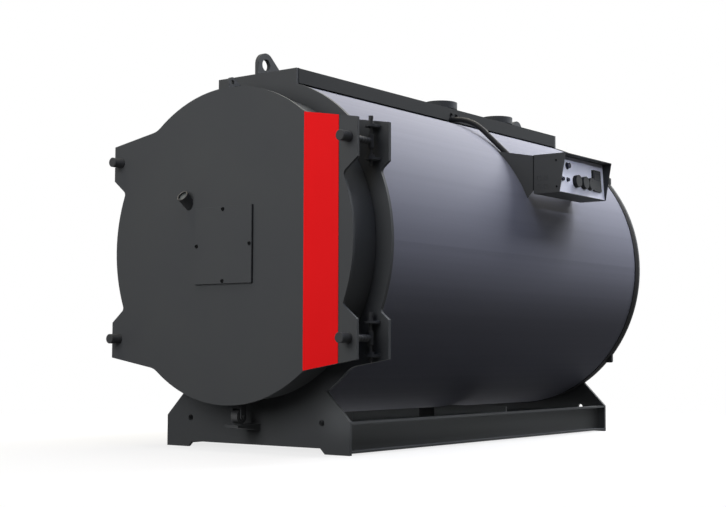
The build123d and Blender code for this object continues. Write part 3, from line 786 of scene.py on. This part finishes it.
# place, aim and size in metres, power in watts, colour, spread in degrees
lights = {
    "rear": ((3.2, 9.0, 8.0), (0, 9.0, 1.1), (10.0, 3.0), 2560, "#ffffff", 180),
    "top": ((0.3, 5.0, 8.6), (0, 5.0, 1.1), (16.0, 2.4), 650, "#fffbe8", 180),
    "crown": ((-2.4, 2.0, 8.2), (0, 2.0, 1.1), (16.0, 2.4), 540, "#fff4dc", 180),
    "right": ((2.9, 2.6, 8.0), (0, 2.6, 1.1), (16.0, 3.0), 330, "#c4d0ff", 180),
    "side": ((5.8, 2.6, 5.9), (0, 2.6, 1.1), (16.0, 3.0), 120, "#ffffff", 180),
    "front": ((0.2, -5.8, 2.3), (0, -1.6, 1.1), (3.0, 3.0), 132, "#fffeff", 180),
    "left": ((-8.0, 0.5, 3.2), (-0.9, 0.2, 1.2), (4, 4), 150, "#f3f4ff", 180),
    "back": ((-0.8, 8.5, 2.6), (0, 1.6, 1.1), (4, 4), 40, "#ffffff", 180),
    "panel": ((3.75, -0.3, 2.6), (1.05, 0.357, 1.59), (0.58, 0.2), 0.15, "#e9eeff", 4),
    "base": ((3.6, -3.2, 0.36), (0.62, -0.1, 0.13), (2.0, 0.15), 0.42, "#ffffff", 3),
}
cameraSpec = {
    "place": (4.8705, -6.8972, 0.5309), "yaw": 37.075, "pitch": 4.2, "roll": 0.167,
    "focalPixels": 1340.8, "imageWidth": 726, "sensor": 36,
}


def whiteForCamera(tree, lit, white):                # white to the eye and in reflections, lit for the rest
    path = addNode(tree, "ShaderNodeLightPath")
    seen = addNode(tree, "ShaderNodeMath", {"operation": "ADD"}, _0=path.outputs["Is Camera Ray"],
                   _1=path.outputs["Is Glossy Ray"])
    seen = addNode(tree, "ShaderNodeMath", {"operation": "ADD", "use_clamp": True}, _0=seen.outputs[0],
                   _1=path.outputs["Is Transmission Ray"])
    return addNode(tree, "ShaderNodeMixShader", {}, _0=seen.outputs[0], _1=lit, _2=white)


def makeFloor():
    half = stage["floorSize"] / 2
    mesh = bpy.data.meshes.new("studio_floor")
    mesh.from_pydata([(i * half, k * half, 0) for i, k in squareCorners], [], [(0, 1, 2, 3)])
    floor = bpy.data.objects.new("studio_floor", mesh)
    bpy.context.scene.collection.objects.link(floor)
    material = bpy.data.materials.new("pale_floor")
    material.use_nodes = True
    tree = material.node_tree
    tree.nodes.clear()
    place = addNode(tree, "ShaderNodeTexCoord")
    away = addNode(tree, "ShaderNodeVectorMath", {"operation": "LENGTH"}, _0=place.outputs["Object"])
    share = addNode(tree, "ShaderNodeMapRange", {
        "interpolation_type": "SMOOTHSTEP", "From Min": stage["shadowFrom"],
        "From Max": stage["shadowReach"], "To Min": stage["shadowShare"], "To Max": 0.0},
        Value=away.outputs["Value"])
    glow = addNode(tree, "ShaderNodeEmission", {"Color": (1, 1, 1, 1), "Strength": 1.0})
    lit = stage["floorLit"]
    shaded = addNode(tree, "ShaderNodeBsdfDiffuse", {"Color": (lit, lit, lit, 1)})
    white = addNode(tree, "ShaderNodeMixShader", {}, _0=share.outputs["Result"], _1=glow.outputs[0],
                    _2=shaded.outputs[0])
    bounce = addNode(tree, "ShaderNodeBsdfDiffuse", {"Color": srgb(stage["floorBounce"])})
    mix = whiteForCamera(tree, bounce.outputs[0], white.outputs[0])
    addNode(tree, "ShaderNodeOutputMaterial", {}, Surface=mix.outputs[0])
    mesh.materials.append(material)


def makeWorld():
    world = bpy.data.worlds.new("studio")
    world.use_nodes = True
    tree = world.node_tree
    tree.nodes.clear()
    fill = addNode(tree, "ShaderNodeBackground", {"Color": (1, 1, 1, 1), "Strength": stage["worldFill"]})
    white = addNode(tree, "ShaderNodeBackground", {"Color": (1, 1, 1, 1), "Strength": 1.0})
    mix = whiteForCamera(tree, fill.outputs[0], white.outputs[0])
    addNode(tree, "ShaderNodeOutputWorld", {}, Surface=mix.outputs[0])
    bpy.context.scene.world = world


def makeLights():
    for name, (place, aim, size, power, colour, spread) in lights.items():
        data = bpy.data.lights.new(name + "_softbox", "AREA")
        data.shape = "RECTANGLE"
        data.size, data.size_y = size
        data.energy = power
        data.spread = math.radians(spread)
        data.color = srgb(colour)[:3]
        lamp = bpy.data.objects.new(name + "_softbox", data)
        lamp.location = place
        lamp.rotation_euler = (Vector(aim) - Vector(place)).to_track_quat("-Z", "Y").to_euler()
        lamp.visible_camera = False
        bpy.context.scene.collection.objects.link(lamp)


def makeCamera():
    data = bpy.data.cameras.new("photo_camera")
    data.sensor_fit = "HORIZONTAL"
    data.sensor_width = cameraSpec["sensor"]
    data.lens = cameraSpec["focalPixels"] / cameraSpec["imageWidth"] * cameraSpec["sensor"]
    camera = bpy.data.objects.new("photo_camera", data)
    camera.location = cameraSpec["place"]
    aimed = Euler((math.radians(90 + cameraSpec["pitch"]), 0, math.radians(cameraSpec["yaw"]))).to_matrix()
    camera.rotation_euler = (aimed @ Matrix.Rotation(math.radians(cameraSpec["roll"]), 3, "Z")).to_euler()
    bpy.context.scene.collection.objects.link(camera)
    bpy.context.scene.camera = camera


makeFloor()
makeWorld()
makeLights()
makeCamera()
bpy.context.scene.view_settings.view_transform = "Standard"
print("stage ready")
